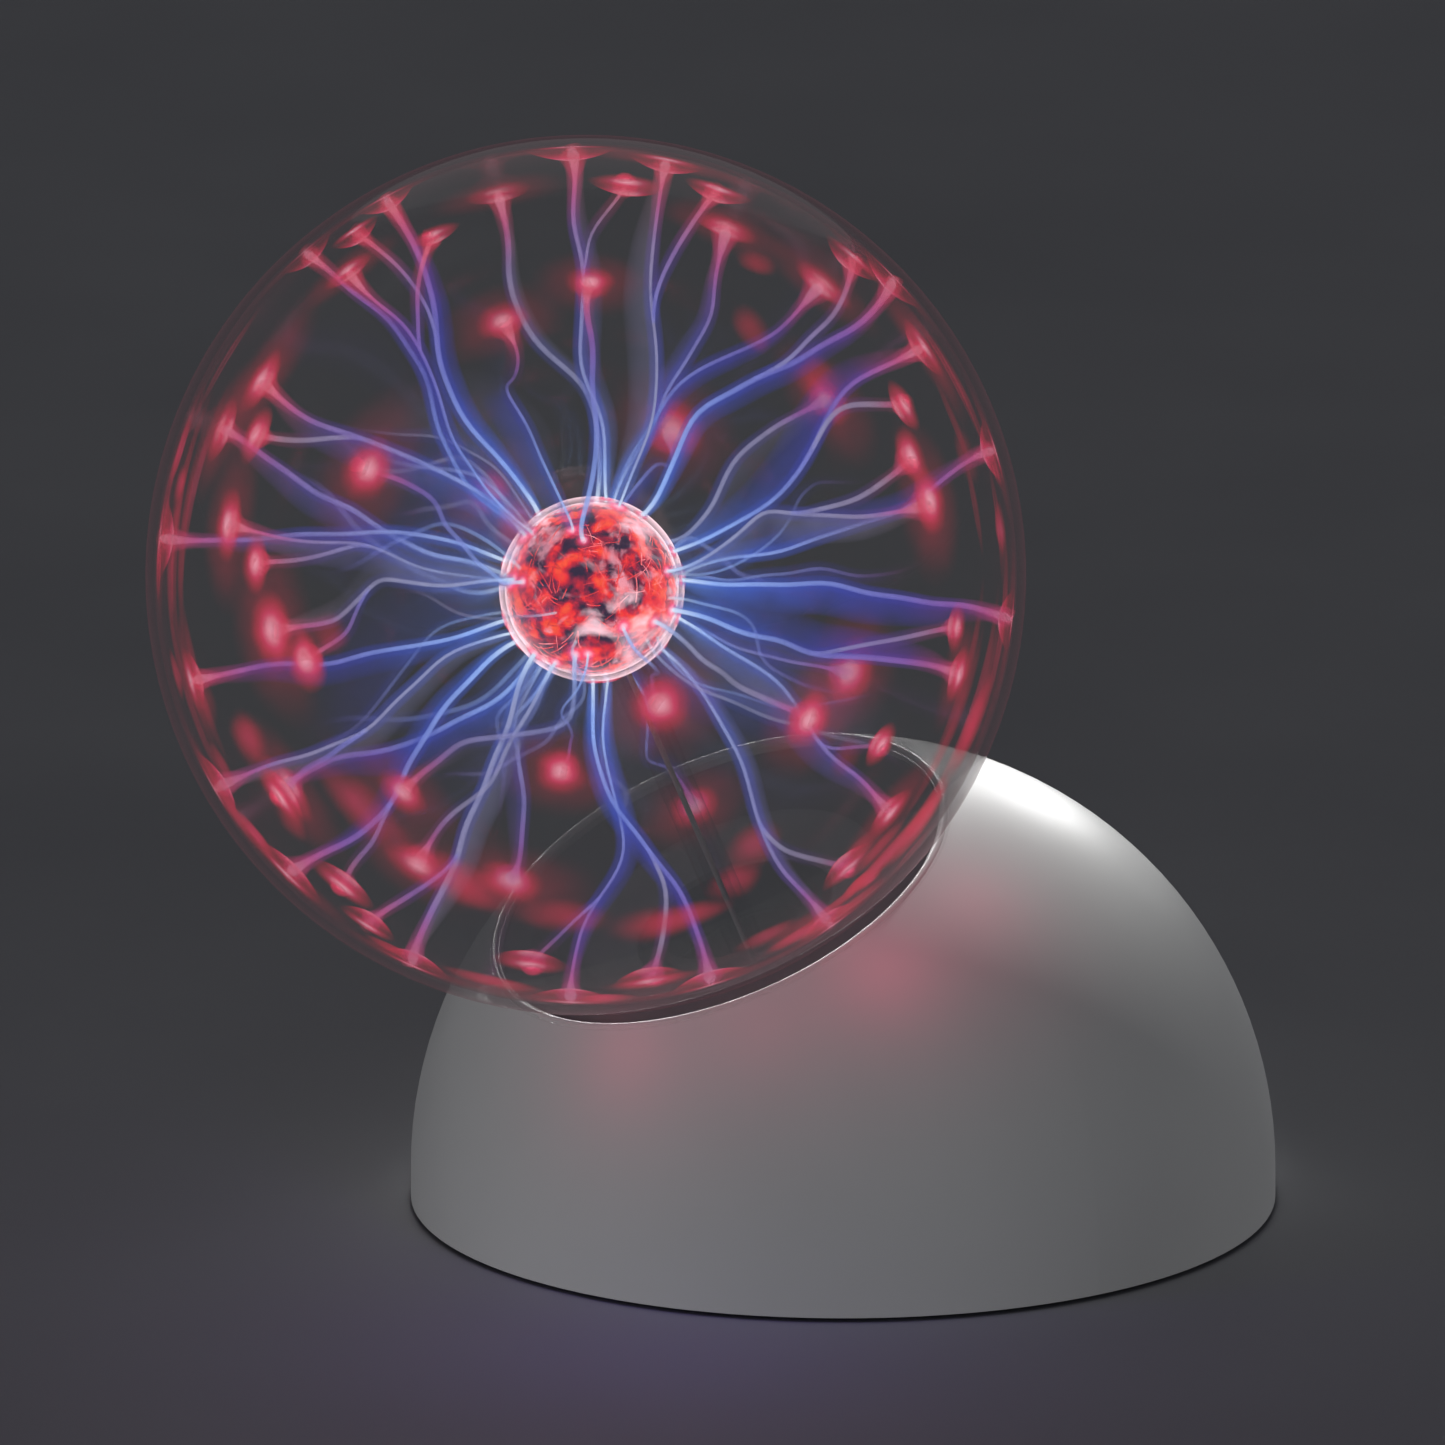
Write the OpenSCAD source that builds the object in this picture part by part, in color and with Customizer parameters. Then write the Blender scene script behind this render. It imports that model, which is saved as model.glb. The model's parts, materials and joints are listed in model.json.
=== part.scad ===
// Plasma ball on a domed base, millimetres. The origin is the centre of the base on the table,
// +Z is up, the globe leans towards -Y, and the switch and the power socket face +Y.

/* [Base] */
// Radius of the domed base
base_r = 75; // [74.5:0.1:75.5]
// Height of the dome's centre above the table, which is also the top of its straight skirt
dome_z = 6; // [5.5:0.1:6.5]
// Thickness of the dome's wall
shell_wall = 2.5; // [2.3:0.1:2.7]
// Gap between the table and the dome's lower edge
skirt_gap = 0.8; // [0.6:0.1:1]

/* [Globe] */
// Outer radius of the glass globe
globe_r = 76; // [75.5:0.1:76.5]
// Thickness of the globe's glass
globe_wall = 1.6; // [1.4:0.1:1.8]
// Lean of the globe's axis from the vertical, in degrees
lean = 25.4; // [24:0.1:27]
// Distance from the dome's centre to the globe's centre
globe_reach = 128.3; // [128:0.1:128.6]
// Outer radius of the electrode bulb
electrode_r = 16; // [14:0.5:18]
// How far the electrode sits below the globe's centre
electrode_drop = 3; // [2:0.5:4]

/* [Opening] */
// Distance from the dome's centre to the plane of the opening's rim
rim_w = 61.9; // [61.7:0.1:62.1]
// Radius of the opening's bore
bore_r = 40.6; // [40.4:0.1:40.8]

/* [Rear panel] */
// Width of the recessed rear panel
panel_w = 52; // [50:1:53]
// Distance from the base's centre to the panel's face
panel_y = 64; // [63.5:0.1:64.5]
// Radius of the power socket's centre pin
jack_pin_r = 1.05; // [1:0.05:1.25]
// Travel of the switch slider to each side
switch_travel = 3; // [2:0.1:3]

/* [Hidden] */

$fn = 64;
big_fn = 160;
eps = 0.01;
past = 1;

// Colours
shell_white = [0.93, 0.93, 0.92];
plate_grey = [0.2, 0.2, 0.21];
rubber_black = [0.08, 0.08, 0.09];
steel = [0.72, 0.72, 0.74];
glass_tint = [0.5, 0.5, 0.55, 0.35];

// Dome and opening
inner_r = base_r - shell_wall;
sleeve_wall = 2.2;
sleeve_bottom_w = 47.2;
lip_r = 0.7;
lip_ring_r = sqrt(base_r * base_r - rim_w * rim_w) - lip_r - 0.1;

// Base plate, its screws and its foot
plate_r = inner_r - 0.3;
plate_z = 1;
plate_t = 2.6;
plate_top = plate_z + plate_t;
foot_r = 57;
foot_inner_r = 50;
foot_inset = 0.6;
boss_angles = [25, 155, 205, 335];
boss_ring_r = 64;
boss_r = 4;
boss_top = 24;
screw_head_r = 2.9;
screw_head_h = 1.6;
screw_shank_r = 1.4;
screw_clear_r = 1.7;
pilot_r = 1.45;
pilot_depth = 14;
vent_slots = 5;
vent_pitch = 8;

// Collar that holds the globe in the opening
collar_r = bore_r - 0.3;
collar_top_w = 57.2;
flange_t = 3.2;
flange_w = sleeve_bottom_w - flange_t;
ear_ring_r = 45.5;
ear_r = 4.2;
ear_angles = [90, 210, 330];
ear_boss_r = 3.2;
ear_pilot_depth = 6;
gasket_top_w = rim_w - 1.1;

// Globe neck and what it holds
neck_r = 15;
neck_end_w = 30;
neck_hole_r = 18;
stem_r = 3.2;
stem_bore_r = 1.8;
stem_disc_t = 2;
bulb_wall = 1;
electrode_w = globe_reach - electrode_drop;
cap_r = 17.5;
cap_bore_r = neck_r + 0.2;
cap_w = 26;
cap_floor_t = 2;
cap_top_w = 36;
cable_r = 1.6;
conductor_r = 0.5;
cable_end_w = cap_w + cap_floor_t;

// Driver board and its parts
board = [64, 52, 1.6];
board_y = 9;
board_z = 9;
board_top = board_z + board[2];
standoff_r = 3;
post_x = 28;
post_y = 22;
core_leg = 7;
core_w = 36;
core_h = 32;
core_y = 20;
coil_lift = 0.5;
coil_h = core_h - 2 * core_leg - 2 * coil_lift;
leg_x = (core_w - core_leg) / 2;
leg_clear_r = 5.05;
hv_coil_r = 10.2;
primary_r = 6.4;
sink_x = -28;
sink_t = 2;
sink_y = 2;
sink_w = 22;
sink_h = 24;
tab_screw_z = board_top + 17;

// Rear panel, switch and power socket
panel_wall = 2;
panel_z = 18.5;
panel_h = 17;
panel_corner_r = 3;
panel_back = panel_y - panel_wall;
switch_x = -14;
slot_w = 2 * switch_travel + 5.4;
slot_h = 4.4;
switch_pitch = 19;
switch_plate_t = 0.8;
switch_can = [15.4, 7.4, 7];
can_wall = 0.5;
knob = [5, 4.6, 4];
carriage = [8, 3, 5.4];
socket_x = 15;
socket_r = 4;
socket_bore_r = 3;
socket_depth = 10;
socket_back = 16;
socket_flange_r = 5.6;
socket_flange_t = 1.4;
socket_tail = 4;
pin_shoulder_r = jack_pin_r + 0.35;
pin_setback = 1;
mic_x = 2.5;
mic_r = 3;
mic_h = 2.7;
mic_hole_r = 0.6;

// Wires
wire_r = 0.7;
thin_wire_r = 0.45;
wire_sides = 8;
wire_steps = 16;

// Puts a shape on the globe's leaning axis, w above the dome's centre
module on_axis(w = 0) {
    translate([0, 0, dome_z]) rotate([lean, 0, 0]) translate([0, 0, w]) children();
}

// A point on the leaning axis, w above the dome's centre
function axis_point(w) = [0, -w * sin(lean), dome_z + w * cos(lean)];

module ring(r, bore, h) {
    difference() {
        cylinder(r = r, h = h);
        translate([0, 0, -past]) cylinder(r = bore, h = h + 2 * past);
    }
}

module around(angles, r) {
    for (a = angles) rotate([0, 0, a]) translate([r, 0, 0]) children();
}

// A cylinder along +Y from y, centred on x and z
module along_y(x, y, z, r, h) {
    translate([x, y, z]) rotate([-90, 0, 0]) cylinder(r = r, h = h);
}

// A block with rounded corners seen along Y, centred on z
module rounded_block(w, h, y, depth, r, z) {
    translate([-w / 2 + r, y, z - h / 2]) cube([w - 2 * r, depth, h]);
    translate([-w / 2, y, z - h / 2 + r]) cube([w, depth, h - 2 * r]);
    for (sx = [-1, 1], sz = [-1, 1]) along_y(sx * (w / 2 - r), y, z + sz * (h / 2 - r), r, depth);
}

// The dome with its skirt, closed, down to the height z0
module dome_form(r, z0) {
    intersection() {
        translate([0, 0, dome_z]) sphere(r = r, $fn = big_fn);
        translate([-2 * r, -2 * r, dome_z]) cube([4 * r, 4 * r, 2 * r]);
    }
    translate([0, 0, z0]) cylinder(r = r, h = dome_z - z0, $fn = big_fn);
}

// A smooth curve through space with a start, two handles and an end
function bezier(p, t) = pow(1 - t, 3) * p[0] + 3 * pow(1 - t, 2) * t * p[1]
                        + 3 * (1 - t) * t * t * p[2] + pow(t, 3) * p[3];
function unit(v) = v / norm(v);

// A round wire along a bezier, its rings square to the curve
module wire(p, r) {
    points = [for (i = [0:wire_steps]) bezier(p, i / wire_steps)];
    last = len(points) - 1;
    heading = [for (i = [0:last])
        unit(i == 0 ? p[1] - p[0] : i == last ? p[3] - p[2] : points[i + 1] - points[i - 1])];
    side = [for (d = heading) unit(cross(d, [1, 0, 0]))];
    rings = [for (i = [0:last], k = [0:wire_sides - 1])
        let (a = 360 * k / wire_sides)
        points[i] + r * (cos(a) * side[i] + sin(a) * cross(side[i], heading[i]))];
    walls = [for (i = [0:last - 1], k = [0:wire_sides - 1])
        let (a = i * wire_sides, n = (k + 1) % wire_sides)
        [a + k, a + n, a + wire_sides + n, a + wire_sides + k]];
    ends = [[for (k = [wire_sides - 1:-1:0]) k],
            [for (k = [0:wire_sides - 1]) last * wire_sides + k]];
    polyhedron(rings, concat(walls, ends), convexity = 4);
}

// Casing

module opening_cut() {
    on_axis(rim_w) cylinder(r = base_r, h = base_r);
    on_axis(sleeve_bottom_w - past) cylinder(r = bore_r, h = base_r, $fn = big_fn);
}

module opening_sleeve() {
    on_axis(sleeve_bottom_w) cylinder(r = bore_r + sleeve_wall, h = base_r, $fn = big_fn);
    on_axis(sleeve_bottom_w) around(ear_angles, ear_ring_r) cylinder(r = ear_boss_r, h = base_r);
}

module opening_lip() {
    on_axis(rim_w) rotate_extrude($fn = big_fn) translate([lip_ring_r, 0]) circle(r = lip_r, $fn = 32);
}

module base_bosses() {
    around(boss_angles, boss_ring_r) translate([0, 0, plate_top]) {
        cylinder(r = boss_r, h = boss_top - plate_top);
        translate([0, -1, 0]) cube([base_r - boss_ring_r, 2, boss_top - plate_top]);
    }
}

// The dome's inside, around everything that is moulded in it
module dome_hollow() {
    difference() {
        dome_form(inner_r, skirt_gap - past);
        opening_sleeve();
        base_bosses();
        rounded_block(panel_w + 2 * panel_wall, panel_h + 2 * panel_wall, panel_back, base_r,
                      panel_corner_r + panel_wall, panel_z);
    }
}

module rear_panel_holes() {
    translate([switch_x - slot_w / 2, panel_back - past, panel_z - slot_h / 2])
        cube([slot_w, panel_wall + 2 * past, slot_h]);
    for (s = [-1, 1])
        along_y(switch_x + s * switch_pitch / 2, panel_back - past, panel_z, 1.2, panel_wall + 2 * past);
    along_y(mic_x, panel_back - past, panel_z, mic_hole_r, panel_wall + 2 * past);
    along_y(socket_x, panel_back - past, panel_z, socket_r + 0.1, panel_wall + 2 * past);
}

module dome_shell() {
    color(shell_white) difference() {
        dome_form(base_r, skirt_gap);
        dome_hollow();
        opening_cut();
        on_axis(sleeve_bottom_w - past) around(ear_angles, ear_ring_r) cylinder(r = 1.2, h = ear_pilot_depth + past);
        around(boss_angles, boss_ring_r) translate([0, 0, plate_top - past])
            cylinder(r = pilot_r, h = pilot_depth + past);
        rounded_block(panel_w, panel_h, panel_y, base_r, panel_corner_r, panel_z);
        rear_panel_holes();
    }
    color(shell_white) opening_lip();
}

module base_plate() {
    color(plate_grey) difference() {
        union() {
            translate([0, 0, plate_z]) cylinder(r = plate_r, h = plate_t, $fn = big_fn);
            for (x = [-post_x, post_x], y = [-post_y, post_y])
                translate([x, board_y + y, plate_top]) cylinder(r = standoff_r, h = board_z - plate_top);
        }
        translate([0, 0, plate_z - past]) ring(foot_r + 0.1, foot_inner_r - 0.1, foot_inset + past, $fn = big_fn);
        around(boss_angles, boss_ring_r) {
            translate([0, 0, plate_z - past]) cylinder(r = screw_clear_r, h = plate_t + 2 * past);
            translate([0, 0, plate_z - past]) cylinder(r = screw_head_r + 0.4, h = past + screw_head_h - 0.2);
        }
        for (x = [-post_x, post_x], y = [-post_y, post_y])
            translate([x, board_y + y, plate_top - 1]) cylinder(r = 1, h = board_z);
        for (i = [0:vent_slots - 1])
            translate([-16, board_y + (i - (vent_slots - 1) / 2) * vent_pitch - 1.25, plate_z - past])
                cube([32, 2.5, plate_t + 2 * past]);
    }
}

module foot_ring() {
    color(rubber_black) ring(foot_r, foot_inner_r, plate_z + foot_inset, $fn = big_fn);
}

module base_screws() {
    head_top = plate_z + screw_head_h - 0.2;
    color(steel) around(boss_angles, boss_ring_r) difference() {
        union() {
            translate([0, 0, head_top - screw_head_h + 0.2]) cylinder(r = screw_head_r, h = screw_head_h - 0.2);
            translate([0, 0, head_top]) cylinder(r = screw_shank_r, h = 12);
        }
        for (a = [0, 90]) rotate([0, 0, a]) translate([-1.8, -0.35, plate_z - past]) cube([3.6, 0.7, past + 0.8]);
    }
}

// Globe

module globe_glass() {
    color(glass_tint) difference() {
        union() {
            on_axis(globe_reach) sphere(r = globe_r, $fn = big_fn);
            on_axis(neck_end_w) cylinder(r = neck_r, h = globe_reach - globe_r);
        }
        on_axis(globe_reach) sphere(r = globe_r - globe_wall, $fn = big_fn);
        on_axis(neck_end_w - past) cylinder(r = neck_r - globe_wall, h = globe_reach - globe_r);
    }
}

module glass_stem() {
    color(glass_tint) difference() {
        union() {
            on_axis(neck_end_w) cylinder(r = neck_r - globe_wall - 0.05, h = stem_disc_t);
            on_axis(neck_end_w) cylinder(r = 6, h = stem_disc_t + 4);
            on_axis(neck_end_w) cylinder(r = stem_r, h = electrode_w - electrode_r + bulb_wall - neck_end_w);
        }
        on_axis(neck_end_w - past) cylinder(r = stem_bore_r, h = electrode_w);
    }
}

module electrode_bulb() {
    color([0.75, 0.25, 0.2, 0.5]) difference() {
        on_axis(electrode_w) sphere(r = electrode_r, $fn = 96);
        on_axis(electrode_w) sphere(r = electrode_r - bulb_wall, $fn = 96);
        on_axis(electrode_w - electrode_r - past) cylinder(r = stem_r + 0.05, h = electrode_r);
    }
}

module electrode_wool() {
    color([0.55, 0.3, 0.25]) on_axis(electrode_w) sphere(r = electrode_r - bulb_wall - 0.3, $fn = 96);
}

module electrode_lead() {
    tip_w = electrode_w - electrode_r + bulb_wall + 0.3;
    color(steel) on_axis(cable_end_w) cylinder(r = conductor_r, h = tip_w - cable_end_w);
}

module globe_gasket() {
    color(rubber_black) difference() {
        on_axis(collar_top_w) ring(collar_r, neck_hole_r, gasket_top_w - collar_top_w, $fn = big_fn);
        on_axis(globe_reach) sphere(r = globe_r + 0.05, $fn = big_fn);
    }
}

module globe_collar() {
    color(plate_grey) difference() {
        union() {
            on_axis(flange_w) cylinder(r = collar_r, h = collar_top_w - flange_w, $fn = big_fn);
            on_axis(flange_w) cylinder(r = bore_r + sleeve_wall, h = flange_t, $fn = big_fn);
            on_axis(flange_w) around(ear_angles, ear_ring_r) cylinder(r = ear_r, h = flange_t);
        }
        on_axis(globe_reach) sphere(r = globe_r + 0.3, $fn = big_fn);
        on_axis(flange_w - past) cylinder(r = neck_hole_r, h = base_r);
        on_axis(flange_w - past) ring(collar_r - 2.4, neck_hole_r + 2.4, 8 + past, $fn = big_fn);
        on_axis(flange_w - past) around(ear_angles, ear_ring_r) cylinder(r = 1.5, h = flange_t + 2 * past);
    }
}

module collar_screws() {
    color(steel) on_axis(flange_w - 1.8) around(ear_angles, ear_ring_r) difference() {
        union() {
            cylinder(r = 2.7, h = 1.8);
            cylinder(r = 1.15, h = 1.8 + flange_t + 5);
        }
        for (a = [0, 90]) rotate([0, 0, a]) translate([-1.5, -0.3, -past]) cube([3, 0.6, past + 0.9]);
    }
}

module neck_bushing() {
    color(rubber_black) on_axis(flange_w + 1) ring(neck_hole_r - 0.1, neck_r + 0.1, 8);
}

module neck_cap() {
    color([0.85, 0.83, 0.78]) difference() {
        on_axis(cap_w) cylinder(r = cap_r, h = cap_top_w - cap_w);
        on_axis(cap_w + cap_floor_t) cylinder(r = cap_bore_r, h = cap_top_w);
        on_axis(cap_w - past) cylinder(r = cable_r + 0.1, h = cap_top_w);
    }
}

module high_voltage_lead() {
    down_axis = -unit(axis_point(1) - axis_point(0));
    end = axis_point(cable_end_w);
    start = [leg_x, core_y - hv_coil_r - 0.05, board_top + core_leg + coil_lift + coil_h / 2];
    color([0.75, 0.12, 0.1]) wire([start, start + [0, -12, 0], end + 22 * down_axis, end], cable_r);
}

// Driver electronics

module driver_board() {
    color([0.1, 0.35, 0.18]) difference() {
        translate([-board[0] / 2, board_y - board[1] / 2, board_z]) cube(board);
        for (x = [-post_x, post_x], y = [-post_y, post_y])
            translate([x, board_y + y, board_z - past]) cylinder(r = 1.2, h = board[2] + 2 * past);
    }
}

module board_screws() {
    color(steel) for (x = [-post_x, post_x], y = [-post_y, post_y]) translate([x, board_y + y, board_top]) {
        translate([0, 0, -board[2] - 4]) cylinder(r = 0.95, h = board[2] + 4);
        difference() {
            cylinder(r = 2, h = 1.4);
            translate([-1.4, -0.25, 0.8]) cube([2.8, 0.5, past]);
        }
    }
}

module flyback_core() {
    color([0.22, 0.22, 0.24]) translate([-core_w / 2, core_y - core_leg / 2, board_top]) difference() {
        cube([core_w, core_leg, core_h]);
        translate([core_leg, -past, core_leg])
            cube([core_w - 2 * core_leg, core_leg + 2 * past, core_h - 2 * core_leg]);
    }
}

module high_voltage_coil() {
    color([0.12, 0.12, 0.13]) translate([leg_x, core_y, board_top + core_leg + coil_lift])
        ring(hv_coil_r, leg_clear_r, coil_h);
}

module primary_coil() {
    color([0.72, 0.4, 0.18]) translate([-leg_x, core_y, board_top + core_leg + coil_lift]) difference() {
        union() {
            cylinder(r = primary_r, h = coil_h);
            for (z = [0, coil_h - 1]) translate([0, 0, z]) cylinder(r = primary_r + 0.8, h = 1);
        }
        translate([0, 0, -past]) cylinder(r = leg_clear_r, h = coil_h + 2 * past);
    }
}

module heatsink() {
    color([0.78, 0.79, 0.8]) difference() {
        union() {
            translate([sink_x - sink_t, sink_y - sink_w / 2, board_top]) cube([sink_t, sink_w, sink_h]);
            for (i = [0:4])
                translate([sink_x - sink_t - 5, sink_y - sink_w / 2 + i * (sink_w - 1.2) / 4, board_top + 3])
                    cube([5, 1.2, sink_h - 3]);
        }
        translate([sink_x - sink_t - 6, sink_y, tab_screw_z]) rotate([0, 90, 0]) cylinder(r = 1.6, h = 8);
    }
}

module power_transistor() {
    body_h = 9;
    legs_h = 4;
    color([0.13, 0.13, 0.14]) translate([sink_x + 1.3, sink_y - 5, board_top + legs_h]) cube([3.2, 10, body_h]);
    color(steel) difference() {
        translate([sink_x, sink_y - 5, board_top + legs_h]) cube([1.3, 10, 16]);
        translate([sink_x - past, sink_y, tab_screw_z]) rotate([0, 90, 0]) cylinder(r = 1.7, h = 4);
    }
    color(steel) for (i = [-1:1])
        translate([sink_x + 2.2, sink_y + i * 2.54 - 0.4, board_top]) cube([0.6, 0.8, legs_h + eps]);
}

module transistor_screw() {
    color(steel) translate([sink_x - sink_t - 2, sink_y, tab_screw_z]) rotate([0, 90, 0]) {
        cylinder(r = 1.45, h = sink_t + 2 + 1.3);
        translate([0, 0, sink_t + 2 + 1.3]) cylinder(r = 2.8, h = 2);
    }
}

module filter_capacitors() {
    places = [[23, -8, 5, 12], [11, -11, 4, 11]];
    for (p = places) translate([p[0], p[1], board_top]) {
        color([0.1, 0.12, 0.3]) cylinder(r = p[2], h = p[3]);
        color(steel) translate([0, 0, p[3]]) cylinder(r = p[2] - 0.7, h = 0.2);
    }
}

module film_capacitor() {
    color([0.7, 0.15, 0.12]) translate([-16, -3, board_top]) cube([13, 5, 9]);
}

module resistors() {
    for (i = [0:4]) translate([-14 + i * 4.5, -12, board_top + 1.2]) rotate([-90, 0, 0]) {
        color([0.76, 0.66, 0.5]) translate([0, 0, -3]) cylinder(r = 1.15, h = 6);
        color(steel) translate([0, 0, -5]) cylinder(r = 0.3, h = 10);
    }
}

module oscillator_chip() {
    color([0.12, 0.12, 0.13]) translate([4, 1, board_top + 0.6]) cube([9.4, 6.4, 3.2]);
    color(steel) for (i = [0:3], y = [0.6, 7.4])
        translate([4.6 + i * 2.54, y - 0.4, board_top]) cube([0.6, 0.8, 2.2]);
}

module wire_headers() {
    color([0.9, 0.9, 0.86]) for (h = [[-26, 10], [16, 7.6]]) difference() {
        translate([h[0], 30.5, board_top]) cube([h[1], 4, 5.5]);
        translate([h[0] + 0.8, 31.3, board_top + 1]) cube([h[1] - 1.6, 2.4, 6]);
    }
}

// Rear panel

module microphone() {
    color([0.75, 0.75, 0.77]) along_y(mic_x, panel_back - mic_h, panel_z, mic_r, mic_h);
}

module switch_body() {
    can_x = switch_x - switch_can[0] / 2;
    can_y = panel_back - switch_plate_t - switch_can[1];
    can_z = panel_z - switch_can[2] / 2;
    color([0.7, 0.71, 0.72]) difference() {
        union() {
            translate([switch_x - switch_pitch / 2 - 2.4, panel_back - switch_plate_t, panel_z - 4])
                cube([switch_pitch + 4.8, switch_plate_t, 8]);
            translate([can_x, can_y, can_z]) cube(switch_can + [0, eps, 0]);
        }
        translate([can_x + can_wall, panel_back - switch_plate_t - carriage[1] - 0.6, can_z + can_wall])
            cube([switch_can[0] - 2 * can_wall, carriage[1] + 0.6, switch_can[2] - 2 * can_wall]);
        translate([switch_x - slot_w / 2, panel_back - 2 * switch_plate_t, panel_z - slot_h / 2])
            cube([slot_w, 3 * switch_plate_t, slot_h]);
        for (s = [-1, 1])
            along_y(switch_x + s * switch_pitch / 2, panel_back - past - switch_plate_t, panel_z, 1.1, 3);
    }
    color([0.75, 0.6, 0.25]) for (i = [-1:1])
        translate([switch_x + 4 * i - 0.6, can_y - 3.5, panel_z - 0.3]) cube([1.2, 3.5, 0.6]);
}

module switch_slider() {
    base_y = panel_back - switch_plate_t - carriage[1] - 0.3;
    top_y = panel_y + knob[1] - 1;
    color([0.1, 0.1, 0.11]) difference() {
        union() {
            translate([switch_x - carriage[0] / 2, base_y, panel_z - carriage[2] / 2]) cube(carriage);
            translate([switch_x - knob[0] / 2, base_y + carriage[1] - eps, panel_z - knob[2] / 2])
                cube([knob[0], top_y - base_y - carriage[1] + eps, knob[2]]);
        }
        for (i = [-1:1])
            translate([switch_x + i * 1.3 - 0.3, top_y - 0.5, panel_z - knob[2]]) cube([0.6, 1, 2 * knob[2]]);
    }
}

module switch_screws() {
    color(steel) for (s = [-1, 1]) difference() {
        union() {
            along_y(switch_x + s * switch_pitch / 2, panel_y, panel_z, 1.9, 1.2);
            along_y(switch_x + s * switch_pitch / 2, panel_y - 5, panel_z, 1, 5 + eps);
        }
        translate([switch_x + s * switch_pitch / 2 - 1.4, panel_y + 0.7, panel_z - 0.25]) cube([2.8, 1, 0.5]);
    }
}

module power_socket() {
    color([0.09, 0.09, 0.1]) difference() {
        union() {
            along_y(socket_x, panel_y, panel_z, socket_flange_r, socket_flange_t);
            along_y(socket_x, panel_y - socket_back, panel_z, socket_r, socket_back + eps);
        }
        along_y(socket_x, panel_y + socket_flange_t - socket_depth, panel_z, socket_bore_r, socket_depth + past);
        along_y(socket_x, panel_y + socket_flange_t - 0.5, panel_z, socket_bore_r + 0.5, past);
        along_y(socket_x, panel_y - socket_back - past, panel_z, pin_shoulder_r, socket_back);
    }
    color(steel) for (x = [-2.6, 2.6])
        translate([socket_x + x - 0.7, panel_y - socket_back - socket_tail, panel_z - 0.25])
            cube([1.4, socket_tail, 0.5]);
}

module socket_pin() {
    floor_y = panel_y + socket_flange_t - socket_depth;
    tail_y = panel_y - socket_back - 1;
    color([0.82, 0.83, 0.84]) {
        along_y(socket_x, floor_y - eps, panel_z, jack_pin_r, socket_depth - pin_setback + eps);
        along_y(socket_x, tail_y, panel_z, pin_shoulder_r, floor_y - tail_y);
    }
}

module socket_nut() {
    color(steel) difference() {
        translate([socket_x, panel_back - 2.6, panel_z]) rotate([-90, 0, 0]) cylinder(r = 6.2, h = 2.6, $fn = 6);
        along_y(socket_x, panel_back - 4, panel_z, socket_r, 6);
    }
}

module supply_wires() {
    from_y = panel_y - socket_back - socket_tail;
    header_z = board_top + 1 + wire_r;
    for (i = [0, 1]) {
        x = socket_x + 5.2 * i - 2.6;
        end = [18.2 + 2.6 * i, 32.5, header_z];
        color(i == 0 ? "red" : "black")
            wire([[x, from_y, panel_z], [x, from_y - 9, panel_z], end + [0, 0, 16], end], wire_r);
    }
}

module switch_wires() {
    from_y = panel_back - switch_plate_t - switch_can[1] - 3.5;
    header_z = board_top + 1 + wire_r;
    for (i = [-1:1]) {
        x = switch_x + 4 * i;
        end = [-21 + 2.6 * i, 32.5, header_z];
        color(["yellow", "white", "blue"][i + 1])
            wire([[x, from_y, panel_z], [x, from_y - 9, panel_z], end + [0, 0, 16], end], wire_r);
    }
}

module microphone_wires() {
    from_y = panel_back - mic_h;
    for (i = [0, 1]) {
        x = mic_x - 1.1 + 2.2 * i;
        end = [x, 33, board_top + 0.05];
        color(i == 0 ? "green" : "black")
            wire([[x, from_y, panel_z], [x, from_y - 14, panel_z], end + [0, 0, 16], end], thin_wire_r);
    }
}

dome_shell();
base_plate();
foot_ring();
base_screws();
globe_glass();
glass_stem();
electrode_bulb();
electrode_wool();
electrode_lead();
globe_gasket();
globe_collar();
collar_screws();
neck_bushing();
neck_cap();
high_voltage_lead();
driver_board();
board_screws();
flyback_core();
high_voltage_coil();
primary_coil();
power_transistor();
heatsink();
transistor_screw();
filter_capacitors();
film_capacitor();
resistors();
oscillator_chip();
wire_headers();
microphone();
switch_body();
switch_slider();
switch_screws();
power_socket();
socket_pin();
socket_nut();
supply_wires();
switch_wires();
microphone_wires();
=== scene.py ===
"""Looks for the plasma ball: filaments, flares, steel wool, materials, studio and camera, in metres."""

import json
import math
import random

import bmesh
import bpy
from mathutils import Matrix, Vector, noise

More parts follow.
